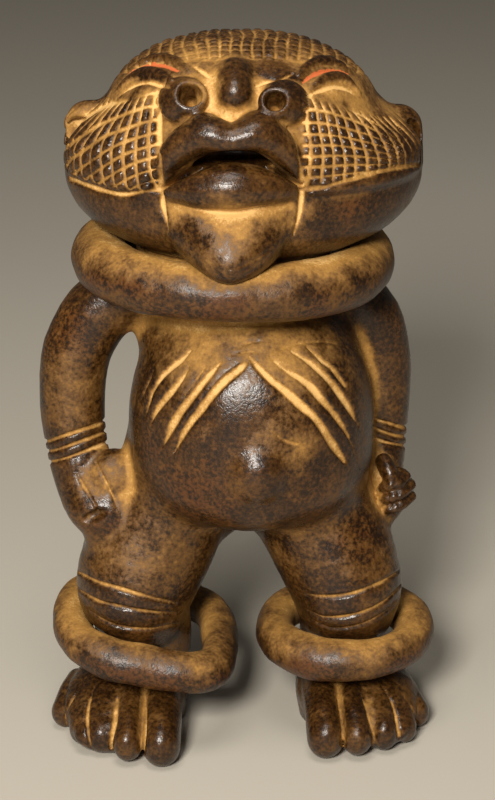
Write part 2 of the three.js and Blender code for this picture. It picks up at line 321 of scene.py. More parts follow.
# The face, by where its forms show in the picture: [across, down, how far back, half width, half
# depth], with the pixels of the picture first and then millimetres.
face = {
    "upperLip": [[164, 183, -43, 2.5, 4], [169, 164, -46.5, 5, 7], [183, 145, -49.5, 6.8, 8],
                 [207, 134.5, -53, 7.2, 8.5], [231, 139, -54, 6.4, 8.5], [257, 133.5, -53, 7.4, 8.5],
                 [276, 143, -50.5, 7, 8], [289, 162, -47.5, 5.2, 7], [297, 182, -43, 2.5, 4]],
    "lobes": [[203, 130, -49, 7.0, 7.5], [256, 128, -49, 7.0, 7.5]],
    "philtrum": [[230, 114, -60, 1.1, 6], [230, 120, -61, 0.5, 4]],
    "lowerLip": [[166, 190.5, -44, 2.2, 4], [184, 188.5, -49, 6.6, 8], [206, 187.5, -54, 8.4, 10.2],
                 [232, 186, -55.5, 9.3, 11], [260, 186.5, -53.5, 7.6, 10], [280, 187.5, -49, 5.6, 8],
                 [297, 188.5, -44, 2.2, 4]],
    "mouth": [[166, 187.5, -46, 0.8, 6], [184, 175, -52, 1.7, 12], [204, 162, -57, 2.3, 15],
              [230, 156.5, -59, 2.6, 16], [256, 158, -57, 2.4, 15], [278, 170, -52, 1.6, 12],
              [296, 185, -46, 0.8, 6]],
    "gullet": {"seen": (232, 158.5), "back": -43, "radii": (20, 10, 3.9)},  # dark hollow behind the lips
    "chin": [[231, 202, -39.5, 29, 15.5], [230, 218, -42.5, 28, 17], [231, 236, -48, 23, 16],
             [231, 252, -55.5, 16, 12.5], [230, 264.5, -61, 7.5, 8.5]],
    "underLip": [[178, 205, 0.8], [204, 211, 1.6], [234, 212.5, 1.9], [262, 207, 1.5], [288, 199, 0.8]],
    "nose": [[236, 67, -25, 6.0, 6], [235.5, 81, -33, 7.4, 9], [234.5, 97, -39.5, 8.2, 10.5]],
    "nostrils": [{"lobe": (183.5, 101), "size": (10.4, 7.6, 10.4), "hole": (190, 95.5), "bore": 4.6},
                 {"lobe": (284, 103.5), "size": (9.9, 7.8, 9.9), "hole": (275.3, 101.5), "bore": 4.0}],
    "rim": 1.9,  # radius of the bead round a nostril
    "bore": (2.7, 13.0),  # the small dark hole in a nostril's bowl: radius and depth
    "underLipDepth": 1.2,
    "faceLean": 38,  # how far the face leans back, degrees
}


# A small round bead bent into a ring about a place, square to a direction.
def collar(place, outward, reach, bead):
    def distance(x, y, z):
        gap = [axis - place[i] for i, axis in enumerate((x, y, z))]
        out = sum(part * outward[i] for i, part in enumerate(gap))
        aside = np.sqrt(np.maximum(sum(part**2 for part in gap) - out**2, 0))
        return np.hypot(aside - reach, out) - bead

    low, high = box(place, reach + bead)
    return {"low": low, "high": high, "distance": distance}


def addFace(clay):
    for stations in (face["chin"], face["lowerLip"], face["upperLip"]):
        clay.add(roll(seenStations(stations), 6), 3.0)
    for x, y, z, width, depth in seenStations(face["lobes"]):
        clay.add(egg((x, y, z), (width, depth, width)), 2.6)
    clay.cut(roll(seenStations(face["philtrum"]), 3), 2.0)
    clay.cut(roll(seenStations(face["mouth"]), 6), 1.2)
    gullet = face["gullet"]
    clay.cut(egg(seenStations([[*gullet["seen"], gullet["back"]]])[0], gullet["radii"]), 1.2)
    clay.add(roll(seenStations(face["nose"]), 6), 3.0)
    lean = -face["faceLean"]
    outward = np.array([0, -math.cos(math.radians(lean)), -math.sin(math.radians(lean))])
    for nostril in face["nostrils"]:
        lobe, hole = clay.skinAt([nostril["lobe"], nostril["hole"]])
        clay.add(egg(lobe, nostril["size"], (lean, 0, 0)), 2.0)
        mouthOf = clay.skinAt([nostril["hole"]])[0]
        clay.add(collar(mouthOf - 0.9 * outward, outward, nostril["bore"] + 1.0, face["rim"]), 2.4)
        clay.cut(egg(mouthOf, (nostril["bore"], 6.0, nostril["bore"]), (lean, 0, 0)), 1.2)
        radius, depth = face["bore"]
        clay.cut(egg(mouthOf, (radius, depth, radius), (lean, 0, 0)), 0.8)


ears = {
    "left": {"centre": (-63.5, 5, 274.2), "outward": -1},
    "right": {"centre": (66.8, 6, 272.4), "outward": 1},
    "radii": (11, 8, 10.0),
    "hollow": (6.0, 5.5, 7.0),
    "hollowAt": (5.5, -6.5, -2.5),
}


def addEar(clay, ear):
    clay.add(egg(ear["centre"], ears["radii"]), 3.0)
    outset, front, drop = ears["hollowAt"]
    x, y, z = ear["centre"]
    clay.cut(egg((x + ear["outward"] * outset, y + front, z + drop), ears["hollow"]), 1.5)


trunk = {
    "centre": (5.0, -8.0, 141.0),
    "chestRise": 64.0,
    "bellyDrop": 40.0,
    "halfWidth": 53.7,
    "bellyReach": 50.0,
    "backReach": 41.0,
    "chestFullness": 2.3,
    "bellyFullness": 2.8,
    "neck": {"centre": (-3, 2), "halfWidth": 42.0, "halfDepth": 40.0, "bottom": 178, "top": 236,
             "foot": 0.55, "footHeights": (179, 206)},  # it narrows to this share into the back
    "yoke": {"centre": (2, 6, 184), "radii": (48, 33, 24)},
    "buttocks": [{"centre": (-20, 15, 101), "radii": (27, 22, 23)},
                 {"centre": (24, 16, 101), "radii": (27, 22, 23)}],
    "navel": {"seen": (259, 478), "radii": (8.5, 5.5, 9.0)},
}


def trunkBall():
    return fullBall(
        trunk["centre"],
        lambda z: trunk["halfWidth"] + 0 * z,
        trunk["bellyReach"], trunk["backReach"], trunk["chestRise"], trunk["bellyDrop"],
        lambda x, y, z: np.where(z < 0, trunk["bellyFullness"], trunk["chestFullness"]))


# The neck is an upright column that narrows into the shoulders by a smooth step: its distance is
# that to its ellipse, or to its flat ends.
def neckColumn():
    neck = trunk["neck"]
    x0, y0 = neck["centre"]

    def distance(x, y, z):
        outness = np.hypot((x - x0) / neck["halfWidth"], (y - y0) / neck["halfDepth"])
        full = neck["foot"] + (1 - neck["foot"]) * smoothStep(*neck["footHeights"], z)
        side = (outness - full) * neck["halfDepth"]
        return np.maximum(side, np.maximum(neck["bottom"] - z, z - neck["top"]))

    low = np.array([x0 - neck["halfWidth"], y0 - neck["halfDepth"], neck["bottom"]])
    high = np.array([x0 + neck["halfWidth"], y0 + neck["halfDepth"], neck["top"]])
    return {"low": low, "high": high, "distance": distance}


# Limbs are stations [x, y, z, half width, half depth].
arms = {
    "left": [[-34, 4, 204, 12, 14], [-57.5, 1, 196, 15, 15], [-71, 0, 175, 15, 14.5],
             [-74, -1, 150, 14.3, 14], [-71.5, -5, 128, 13.4, 12.5], [-66, -12, 111, 13.2, 11],
             [-62, -17, 101, 9, 9]],
    "right": [[36, 8, 200, 13, 14], [54, 12, 190, 14, 14], [61.5, 17, 170, 13.8, 13.5],
              [63.4, 18, 150, 13, 13], [62.5, 15, 128, 12.4, 12], [64.5, 9, 112, 8.6, 10],
              [66, 6, 99, 7.5, 8]],
    "palms": [{"centre": (-65, -14, 110), "radii": (12, 10, 12)},
              {"centre": (-55, -14, 119), "radii": (13, 10.5, 14)}],
    "fist": {"centre": (-60, -19, 106), "radii": (15, 10, 11)},
    "fistBreak": {"seen": (92, 522), "back": -34, "radii": (9, 9, 3.5)},
    "rightFingers": [[[384, 511, -5, 2.6, 5], [395, 503, -6, 3.3, 7], [407, 494, -3, 3.0, 6]],
                     [[383, 502, -5, 2.6, 5], [394, 492, -7, 3.4, 7], [406, 483, -3, 3.2, 6]],
                     [[384, 490, -4, 2.6, 5], [392, 481, -6, 3.3, 7], [401, 474, -3, 3.0, 6]]],
    "rightThumb": [[383, 462, -2, 3.4, 5], [390, 474, -6, 3.8, 6], [399, 484, -6, 3.2, 5]],
}
legs = {
    "left": [[-26, 2, 122, 26, 28], [-32, -3, 104, 28, 30], [-38, -6, 90, 28.5, 29],
             [-45, -11, 74, 27.5, 27], [-47, -13, 63, 24.8, 25.5], [-43.5, -8, 50, 21, 20],
             [-42.5, -5, 38, 20, 19], [-44, -5, 20, 20, 20], [-45, -5, 2, 20, 22]],
    "right": [[27, 4, 122, 24, 28], [32, -1, 104, 27, 30], [37.5, -4, 92, 27.5, 29],
              [44.8, -9, 76, 26.2, 27], [48, -11, 64, 24.2, 25.5], [47, -7, 51, 20.5, 20],
              [46, -4, 38, 19, 18.5], [46, -4, 20, 20, 20], [47, -4, 2, 20, 22]],
}

# A foot is a body of stations and toes [root x, y, z, tip x, y, z, half width].
feet = {
    "left": {
        "body": [[-45, 26, 7, 16, 13], [-47, 6, 13, 21, 18], [-53, -16, 13, 27, 16], [-51, -42, 9, 23, 9]],
        "toes": [[-35, -18, 19, -34.5, -64, 7, 8.6], [-48, -20, 20, -50, -61, 7, 6.4],
                 [-58, -16, 17, -62.5, -52, 6.5, 5.6], [-66, -12, 14, -72, -43.5, 6, 5.6],
                 [-75, -2, 12, -81.5, -27, 6, 6]],
    },
    "right": {
        "body": [[45, 26, 7, 16, 13], [48, 7, 13, 21, 18], [54, -14, 13, 27, 16], [53, -38, 9, 23, 9]],
        "toes": [[36, -16, 19, 38.5, -57, 7, 8.2], [49, -18, 20, 52.5, -56, 7, 6.6],
                 [60, -14, 17, 65, -50, 6.5, 6.2], [68, -10, 14, 75, -42, 6, 5.6],
                 [73, -4, 11, 83, -26.5, 6, 5.6]],
    },
    "toeDepth": 2.0,  # how much deeper than wide a toe is
    "toeArch": 1.5,
}


# A toe is a roll from its root to its tip that arches a little; its round end is drawn back by its
# own half width so that the tip stays where it was measured.
def toeRoll(rootX, rootY, rootZ, tipX, tipY, tipZ, halfWidth):
    root, tip = np.array([rootX, rootY, rootZ]), np.array([tipX, tipY, tipZ])
    tip = tip + (root - tip) / np.linalg.norm(root - tip) * (halfWidth + feet["toeDepth"]) * 0.9
    middle = (root + tip) / 2 + [0, 0, feet["toeArch"]]
    deep = halfWidth + feet["toeDepth"]
    return roll([[*place, halfWidth, deep] for place in (root, middle, tip)])


def addLimbs(clay):
    for side in ("left", "right"):
        clay.add(roll(arms[side]), 7.0)
        clay.add(roll(legs[side], 3), 9.0)
        clay.add(roll(feet[side]["body"], 4), 5.0)
    for palm in arms["palms"]:
        clay.add(egg(palm["centre"], palm["radii"]), 3.0)
    clay.add(egg(arms["fist"]["centre"], arms["fist"]["radii"]), 3.0)
    broken = arms["fistBreak"]
    clay.cut(egg(seenStations([[*broken["seen"], broken["back"]]])[0], broken["radii"], (0, -25, 0)), 1.0)
    for finger in arms["rightFingers"] + [arms["rightThumb"]]:
        clay.add(roll(seenStations(finger), 4), 1.0)
    for side in ("left", "right"):
        for toe in feet[side]["toes"]:
            clay.add(toeRoll(*toe), 1.2)


# The three rings, as the frame holds them: a centre, the reach of the middle line across and
# back, how thick the coil is, how its plane rises, and how square it runs.
# A swell is [waves round the ring, mm, degrees], and the corner is where the middle line runs out.
rings = {
    "neck_ring": {"centre": (-2.5, 2, 216.8), "reach": (57.1, 54), "thickness": 25,
                  "slope": (-0.018, 0.01), "squareness": 2.1, "swells": [[2, 0.5, 30], [3, 0.4, 200]],
                  "corner": [0, 0, 20], "dust": 0.42, "polish": 0.3, "rubbed": (4, -60, 212)},
    "left_anklet": {"centre": (-42.5, -8.5, 44.6), "reach": (33, 35), "thickness": 18.6,
                    "slope": (-0.15, 0.05), "squareness": 2.5, "swells": [[1, 0.4, 200], [3, 0.3, 80]],
                    "corner": [-50, 6.0, 24], "dust": 0.4, "polish": 0.35, "rubbed": (-48, -52, 47)},
    "right_anklet": {"centre": (47.3, -6.5, 43.4), "reach": (31.5, 32.5), "thickness": 18.8,
                     "slope": (0.01, 0.02), "squareness": 2.1, "swells": [[2, 0.4, 100], [3, 0.3, 10]],
                     "corner": [0, 0, 20], "dust": 0.4, "polish": 0.3, "rubbed": (36, -48, 44)},
}
ringClearance = 0.6


# How far a ring's middle line is from its centre in each direction.
def middleLine(ring, turn):
    reachX, reachY = ring["reach"]
    power = ring["squareness"]
    ratio = (np.abs(np.cos(turn) / reachX) ** power + np.abs(np.sin(turn) / reachY) ** power) ** (1 / power)
    corner, outset, spread = ring["corner"]
    aside = np.degrees(np.angle(np.exp(1j * (turn - math.radians(corner)))))
    return 1 / ratio + outset * np.exp(-((aside / spread) ** 2))


def swelling(ring, turn):
    return sum(size * np.cos(waves * turn - math.radians(start)) for waves, size, start in ring["swells"])


# How far a place is from a ring's coil: its gap from the middle line, out and up, less the radius.
def ringForm(ring, grown):
    x0, y0, z0 = ring["centre"]
    radius = ring["thickness"] / 2 + grown
    reachX, reachY = ring["reach"]

    def distance(x, y, z):
        x, y = x - x0, y - y0
        turn = np.arctan2(y, x)
        out = np.hypot(x, y) - middleLine(ring, turn)
        up = z - z0 - ring["slope"][0] * x - ring["slope"][1] * y
        return np.hypot(out, up) - radius - swelling(ring, turn)

    spread = np.array([reachX + radius + 2, reachY + radius + 2, radius + 10])
    centre = np.array(ring["centre"], dtype=float)
    return {"low": centre - spread, "high": centre + spread, "distance": distance}


def shapeClay():
    clay = ClayBlock((-93, -82, -3), (94, 66, 319), studio["cube"])
    clay.add(trunkBall())
    clay.add(egg(trunk["yoke"]["centre"], trunk["yoke"]["radii"]), 8.0)
    for cheek in trunk["buttocks"]:
        clay.add(egg(cheek["centre"], cheek["radii"]), 6.0)
    addLimbs(clay)
    navel = clay.skinAt([trunk["navel"]["seen"]])[0]
    clay.add(egg(navel, trunk["navel"]["radii"]), 8.0)
    clay.add(neckColumn(), 6.0)
    clay.add(headBall(), 2.0)
    report("limbs, trunk and head")
    for side in ("left", "right"):
        addEar(clay, ears[side])
    addFace(clay)
    for ring in rings.values():
        clay.cut(ringForm(ring, ringClearance), 0.6)
    report("face")
    return clay


# A line drawn over the skin with a tool, from stations [pixel across, pixel down, half width]. A
# groove has a flat bottom and soft shoulders, its depth falling off from the line's middle by a
# smooth step. A ridge is half a round. Both are as wide and deep as the half width lets them.
def drawLine(clay, stations, depth, ridge=False, flat=0.35):
    curve = smoothCurve(stations, 4)
    places = clay.skinAt(curve[:, :2])
    widths = np.maximum(curve[:, 2], 0.15)
    fullest = widths.max()

    def pressed(x, y, z):
        nearest, share = None, None
        for start, end, first, last in zip(places[:-1], places[1:], widths[:-1], widths[1:]):
            along = end - start
            t = (x - start[0]) * along[0] + (y - start[1]) * along[1] + (z - start[2]) * along[2]
            t = np.clip(t / max(along @ along, 1e-6), 0, 1)
            gap = sum((axis - start[i] - t * along[i]) ** 2 for i, axis in enumerate((x, y, z)))
            width = first + t * (last - first)
            ratio = np.sqrt(gap) / width
            if nearest is None:
                nearest, share = ratio, width
            else:
                share = np.where(ratio < nearest, width, share)
                nearest = np.minimum(nearest, ratio)
        strength = depth * np.sqrt(share / fullest)
        if ridge:
            return -strength * np.sqrt(np.maximum(1 - nearest**2, 0))
        return strength * (1 - smoothStep(flat, 1, nearest))

    low, high = box(places, fullest)
    clay.press(low, high, pressed)


# Waves of a few lengths and directions added up: a smooth unevenness between -1 and 1.
def wander(x, y, z, length, seed):
    draw = np.random.default_rng(seed)
    total = 0
    for _ in range(4):
        turn = draw.normal(size=3)
        turn = turn / np.linalg.norm(turn) * 2 * math.pi / length / draw.uniform(0.7, 1.4)
        total = total + np.sin(x * turn[0] + y * turn[1] + z * turn[2] + draw.uniform(0, 6.3))
    return total / 4


# How far a value is from the nearest of the evenly spaced lines, in lines.
def fromLine(value):
    return np.abs(value - np.round(value))


# The hair is a cap of small squares left between grooves pressed over the crown. The long grooves
# run back in planes through a level axis along the head, and the short ones cross them in planes
# through the axis from ear to ear. The cap stops at a slanting plane behind the face.
hair = {
    "axisHeight": 257.0,
    "longSpacing": 4.9,  # degrees
    "crossSpacing": 4.5,
    "longWidth": 0.15,  # share of a space taken by half a groove
    "crossWidth": 0.12,
    "depth": 1.0,
    "edge": 293.6,  # height of the slanting plane at the middle of the head
    "fall": 0.56,  # how fast the plane falls towards the back
    "sidesBare": 55.0,
    "rimDepth": 0.6,  # of the groove along the brow
}


def carveHair(clay):
    def pressed(x, y, z):
        side = np.degrees(np.arctan2(x - 1, z - hair["axisHeight"]))
        back = np.degrees(np.arctan2(y - 3, z - hair["axisHeight"]))
        side = side / hair["longSpacing"] + 0.16 * wander(x, y, z, 22, 3)
        back = back / hair["crossSpacing"] + 0.2 * wander(x, y, z, 19, 4)
        long = 1 - smoothStep(0.4 * hair["longWidth"], 1.7 * hair["longWidth"], fromLine(side))
        cross = 1 - smoothStep(0.4 * hair["crossWidth"], 1.8 * hair["crossWidth"], fromLine(back))
        above = z + hair["fall"] * y - hair["edge"] - 0.7 * wander(x, y, z, 17, 5)
        bare = smoothStep(hair["sidesBare"] - 4, hair["sidesBare"], np.abs(x - 1))
        inCap = smoothStep(0, 1.6, above) * (1 - bare)
        rim = hair["rimDepth"] * np.exp(-((above + 0.3) / 1.1) ** 2) * (1 - smoothStep(-24, -10, y))
        deep = np.maximum(long, 0.8 * cross) * (0.85 + 0.25 * wander(x, y, z, 12, 6))
        return hair["depth"] * deep * inCap + rim

    clay.press((-62, -34, 256), (64, 62, 316), pressed)


# The scored squares on the cheeks. Upright grooves stand at even angles round the head. On the
# left cheek the level grooves are arcs about one point of the picture, and on the right cheek they
# fan out from a point under the ear, between the jaw's groove and the arch below the eye.
cheeks = {
    "left": {"low": (-80, -56, 252), "high": (-26, 14, 300), "first": -32.0, "spacing": 4.9, "lean": -0.3,
             "centre": (185, 290), "arc": 104.0, "arcSpacing": 10.2, "arcGrowth": 0.018,
             "bottom": 256.6},
    "right": {"low": (18, -56, 256), "high": (82, 14, 300), "first": 27.0, "spacing": 4.4, "lean": 0.12,
              "fan": (425, 164), "inner": 300, "lower": 189, "upper": 97, "rows": 8,
             "lowerBend": 0.8, "upperBend": 1.8, "rowBend": 0.92, "pixels": 2.2,  # to a mm
             "crowded": (16, 34)},  # pixels between its lowest and highest row where they fade
    "width": 0.16,
    "depth": 1.45,
    "axis": (1, 3),
}


def carveCheek(clay, side):
    cheek = cheeks[side]
    pad = head["pad"]

    def pressed(x, y, z):
        across, down = seenAt(x, y, z)
        leaned = x - cheek["lean"] * (z - 268) - cheeks["axis"][0]
        turn = np.degrees(np.arctan2(leaned, cheeks["axis"][1] - y))
        turn = (turn - cheek["first"]) / cheek["spacing"] + 0.13 * wander(x, y, z, 24, 11)
        if side == "left":
            out = np.hypot(across - cheek["centre"][0], down - cheek["centre"][1]) - cheek["arc"]
            rows = out / (cheek["arcSpacing"] + cheek["arcGrowth"] * out)
            fade = 1
            bottom = z - cheek["bottom"]
        else:
            side0, level0 = cheek["fan"]
            outward = np.clip(1 - (side0 - across) / (side0 - cheek["inner"]), 0, 1)
            lower = level0 + (cheek["lower"] - level0) * (1 - outward) ** cheek["lowerBend"]
            upper = level0 + (cheek["upper"] - level0) * (1 - outward ** cheek["upperBend"])
            share = np.clip((lower - down) / np.maximum(lower - upper, 6), 0, 1.5)
            rows = cheek["rows"] * share ** cheek["rowBend"]
            fade = smoothStep(*cheek["crowded"], lower - upper)
            bottom = (lower - down) / cheek["pixels"]
        rows = rows + 0.12 * wander(x, y, z, 20, 12)
        upright = 1 - smoothStep(0.35, 1.5, fromLine(turn) / cheeks["width"])
        level = fade * (1 - smoothStep(0.35, 1.5, fromLine(rows) / cheeks["width"]))
        aside = np.abs(x - pad["axis"])
        top = pad["top"] - 1 - pad["topFall"] * (aside - pad["inner"])
        inPad = (
            smoothStep(pad["inner"] + 0.5, pad["inner"] + 2.5, aside)
            * smoothStep(0.2, 1.6, bottom)
            * (1 - smoothStep(top - 4, top, z))
            * (1 - smoothStep(2, 9, y))
        )
        deep = np.maximum(upright, level) * (0.9 + 0.3 * wander(x, y, z, 13, 13))
        return cheeks["depth"] * deep * inPad

    clay.press(cheek["low"], cheek["high"], pressed, 0)


# Lines of the face: [pixel across, pixel down, half width in mm].
faceLines = {
    "grooves": [
        [[160, 108, 1], [159.5, 124, 1.5], [159.5, 150, 1.7], [161, 188, 1.8], [163, 206, 1.6],
         [166, 222, 1.2], [170, 236, 0.5]],
        [[288, 128, 1], [297, 145, 1.4], [301, 165, 1.6], [302, 188, 1.7], [301, 206, 1.6],
         [298, 222, 1.2], [293, 236, 0.5]],
        [[162, 189, 1.5], [140, 192.5, 1.5], [118, 194, 1.6], [92, 187, 1.6], [69, 178.5, 1.4]],
        [[301, 189, 1.6], [322, 188.5, 1.7], [332, 185, 1.2], [360, 177, 1.6], [392, 169, 1.8],
         [419, 165, 1.6]],
    ],
    "slits": [
        [[130, 72.5, 0.7], [138, 67.5, 1], [148, 64, 1.3], [160, 64.5, 1.3], [170, 67.5, 1.1],
         [178, 71.5, 0.6]],
        [[303, 82.5, 0.6], [312, 75.5, 1.1], [325, 71.5, 1.3], [338, 70.5, 1.1], [348, 73.5, 0.6]],
    ],
    "lids": [
        [[131, 68, 0.8], [140, 62, 1.6], [151, 58, 2.1], [162, 56.5, 2.4], [173, 59, 2.2],
         [181, 64.5, 1.7], [189, 72, 0.8]],
        [[117, 91, 0.9], [127, 81, 2], [138, 74, 2.8], [149, 72, 3], [160, 75, 2.6], [172, 81, 1.2]],
        [[299, 76, 0.9], [305, 67.5, 2], [316, 61.5, 2.7], [328, 60.5, 2.8], [339, 64, 2.2],
         [349, 70, 1]],
        [[308, 91, 0.8], [316, 84.5, 1.8], [326, 79, 2.6], [337, 77, 2.8], [347, 79.5, 2.3],
         [360, 93, 0.9]],
    ],
    "creases": [
        [[119, 96, 0.7], [131, 87, 1.4], [146, 82.5, 1.5], [161, 85.5, 1.4], [172, 89, 0.9]],
        [[308, 96, 0.8], [320, 90.5, 1.3], [333, 87, 1.4], [346, 89, 1.2], [356, 95, 0.7]],
        [[191, 64, 0.8], [200, 70, 1.5], [209, 77, 1.2]],
        [[256, 86, 1], [266, 82, 1.6], [280, 80, 1.3], [292, 74, 1]],
    ],
    "grooveDepth": 2.3, "slitDepth": 1.4, "lidHeight": 2.4, "creaseDepth": 1.5,
}

# Strokes down the chest, the bands over the knees, and other marks of the tool and of wear.
bodyLines = {
    "chest": [
        [[246, 363, 0.9], [238, 370, 1.7], [225.5, 380, 1.9], [212.5, 394, 2], [202, 408, 2.1],
         [190, 422.5, 2], [181.5, 437, 1.7], [174.5, 452.5, 0.6]],
        [[220, 363, 0.8], [211, 373, 1.5], [200.5, 385.5, 1.7], [190, 399, 1.9], [180, 412, 2.2],
         [171, 427, 2.2], [163.5, 445, 0.9]],
        [[190, 364, 0.4], [183, 377, 1.2], [172, 390.5, 1.8], [162.5, 401, 1.9], [155, 412, 1.6],
         [151, 423, 0.5]],
        [[190, 351, 0.8], [180, 361, 1.4], [168, 370, 1.5], [159, 380, 1.4], [152, 392, 1.3],
         [148, 404, 1.2], [144.5, 417, 0.5]],
        [[206, 366, 0.4], [195, 381, 0.7], [183, 397, 0.4]],
        [[153, 371, 0.5], [146, 386, 0.9], [140, 401, 0.5]],
        [[250, 357, 0.8], [259, 368, 1.5], [271.5, 380.5, 1.7], [285, 391, 1.9], [299.5, 403.5, 2],
         [314.5, 417, 2], [324, 429.5, 2.1], [334, 445, 2.2], [345, 461, 1.5]],
        [[270, 357, 0.5], [283, 368, 1], [301, 379, 1.5], [311, 386.5, 2], [322.5, 400, 2],
         [332, 411, 1.8], [341.5, 423, 1.8], [348, 434, 1.5], [352.5, 445, 0.8], [355, 457, 0.5],
         [360.5, 470, 0.4]],
        [[292, 351, 0.9], [307, 360.5, 1.4], [319.5, 371, 1.7], [332, 382.5, 2], [341.5, 396, 2.1],
         [350, 409, 1.9], [358.5, 425.5, 0.7]],
        [[307, 347, 0.6], [321, 360.5, 1.3], [331, 367, 1.4], [341.5, 379, 1.6], [345.5, 385, 1.2]],
    ],
    "knees": [
        [[78, 572, 1], [98, 582, 1.3], [122, 589, 1.3], [150, 597.5, 1.3], [177, 603.5, 0.8]],
        [[79, 590, 0.9], [98, 601, 1.3], [122, 607, 1.3], [150, 612, 1.3], [176, 613.5, 0.7]],
        [[90, 611, 0.7], [104, 620, 1.1], [122, 627, 1.1], [150, 629, 1.1], [178, 624, 0.6]],
        [[306, 594.5, 0.8], [322, 596.5, 1.2], [338, 596, 1.3], [355, 592.5, 1.3], [378, 584, 1.3],
         [399, 571, 0.9]],
        [[307, 610, 0.8], [322, 616.5, 1.2], [340, 617, 1.3], [362, 612.5, 1.3], [384, 602, 1.3],
         [401, 585, 0.9]],
        [[309, 618, 0.6], [332.5, 628, 1], [360, 625, 1.1], [384, 613, 1], [397, 602, 0.7]],
    ],
    "marks": [
        [[270, 355, 0.6], [283, 348.5, 0.9], [297.5, 343.5, 1], [324, 341.5, 1], [345, 346, 0.7]],
        [[238, 348, 0.5], [248, 343, 0.9], [262, 341, 0.5]],
        [[232, 355, 0.4], [247, 352, 0.7], [262, 352, 0.4]],
        [[275, 434, 0.8], [285, 440.5, 1.3], [294, 443.5, 1.2], [306, 447, 0.5]],
        [[222, 271, 0.3], [240, 267, 0.7], [258, 258, 0.6], [272, 247, 0.3]],
        [[228, 276, 0.3], [246, 270, 0.6], [264, 259, 0.3]],
    ],
    "toes": [
        [[145.5, 699, 0.8], [145, 730, 1.5], [143, 758, 1.2]],
        [[117, 699, 0.8], [114, 728, 1.5], [110, 753, 1.2]],
        [[95, 684, 0.6], [88, 708, 1.3], [87.5, 728, 1.4], [91, 748, 1]],
        [[81, 686, 0.6], [69, 705, 1.2], [65.5, 716, 1.2], [67, 729, 0.9]],
        [[337, 696, 0.6], [341, 718, 1.4], [343.5, 750, 1.3]],
        [[361, 694, 0.6], [366, 708, 1.2], [372.5, 735, 1.5]],
        [[385, 690, 0.6], [394, 708, 1.2], [399.5, 736, 1.5]],
        [[403, 697, 0.5], [412, 708, 1.1], [417.5, 728, 1.3]],
    ],
    "fists": [
        [[76, 470, 0.4], [82, 484, 0.9], [92, 500, 0.9], [100, 514, 0.6]],
        [[96, 462, 0.4], [104, 478, 0.8], [112, 494, 0.8], [117, 508, 0.5]],
    ],
    "chestDepth": 1.6, "kneeDepth": 1.8, "markDepth": 0.8, "toeDepth": 1.8, "fistDepth": 1.1,
    "chestWiden": 1.2,
}

# Bands round the wrists: planes through a place, square to a direction down the arm.
wristBands = {
    "left": {"place": (-73, -4, 138), "down": (0.33, -0.25, -0.91), "steps": (0, 4.6, 9.4), "reach": 19},
    "right": {"place": (62, 16, 137), "down": (-0.3, -0.2, -0.93), "steps": (0, 4.3, 8.4), "reach": 18},
    "halfWidth": 1.25,
    "depth": 1.1,
}


def carveBands(clay, side):
    wrist = wristBands[side]
    place, down = np.array(wrist["place"], dtype=float), np.array(wrist["down"])
    down = down / np.linalg.norm(down)

    def pressed(x, y, z):
        gap = [x - place[0], y - place[1], z - place[2]]
        along = gap[0] * down[0] + gap[1] * down[1] + gap[2] * down[2]
        away = np.sqrt(np.maximum(gap[0] ** 2 + gap[1] ** 2 + gap[2] ** 2 - along**2, 0))
        uneven = 0.5 * wander(x, y, z, 16, 21)
        nearest = np.minimum.reduce([np.abs(along - step + uneven) for step in wrist["steps"]])
        near = 1 - smoothStep(wrist["reach"] - 2, wrist["reach"], away)
        return wristBands["depth"] * near * (1 - smoothStep(0.35, 1, nearest / wristBands["halfWidth"]))

    reach = wrist["reach"] + 4
    clay.press(place - reach, place + [reach, reach, reach * 0.6], pressed, 0)


def carveClay(clay):
    clay.plain = clay.field.copy()
    carveHair(clay)
    for side in ("left", "right"):
        carveCheek(clay, side)
        carveBands(clay, side)
    report("hair, cheeks and wrists")
    for name, depth in (("grooves", "grooveDepth"), ("slits", "slitDepth"), ("creases", "creaseDepth")):
        for line in faceLines[name]:
            drawLine(clay, line, faceLines[depth])
    for line in faceLines["lids"]:
        drawLine(clay, line, faceLines["lidHeight"], ridge=True)
    for line in bodyLines["chest"]:
        wider = [[across, down, width * bodyLines["chestWiden"]] for across, down, width in line]
        drawLine(clay, wider, bodyLines["chestDepth"], flat=0.5)
    for line in bodyLines["knees"]:
        drawLine(clay, line, bodyLines["kneeDepth"])
    for name, depth in (("marks", "markDepth"), ("toes", "toeDepth"), ("fists", "fistDepth")):
        for line in bodyLines[name]:
            drawLine(clay, line, bodyLines[depth])
    drawLine(clay, face["underLip"], face["underLipDepth"])
    report("lines")


# Takes the skin off the block as a mesh, with its faces outwards and its soles flat.
def skinMesh(clay, name):
    band = 3 * clay.cube
    floor = clay.low[2] + clay.cube * np.arange(clay.counts[2])
    clay.field = np.maximum(clay.field, -floor.astype(np.float32)[None, None, :])
    grid = openvdb.FloatGrid(background=band)
    grid.copyFromArray(np.clip(clay.field, -band, band))
    spots, quads = grid.convertToQuads(0.0)
    places = spots * clay.cube + clay.low
    places[:, 2] = np.where(places[:, 2] < clay.cube * 0.6, 0.0, places[:, 2])
    mesh = bpy.data.meshes.new(name)
    mesh.from_pydata(places.tolist(), [], quads.tolist())
    mesh.update()
    report(f"skin of {len(places)} points")
    return mesh


# The same skin with fewer triangles, most of them kept where it bends.
def thinned(mesh, name, triangles):
    whole = bpy.data.objects.new("whole_skin", mesh)
    bpy.context.collection.objects.link(whole)
    fewer = whole.modifiers.new("fewer", "DECIMATE")
    fewer.ratio = triangles / (2 * len(mesh.polygons))
    graph = bpy.context.evaluated_depsgraph_get()
    thin = bpy.data.meshes.new_from_object(whole.evaluated_get(graph))
    thin.name = name
    bpy.data.objects.remove(whole)
    bpy.data.meshes.remove(mesh)
    report(f"thinned to {len(thin.polygons)} faces")
    return thin


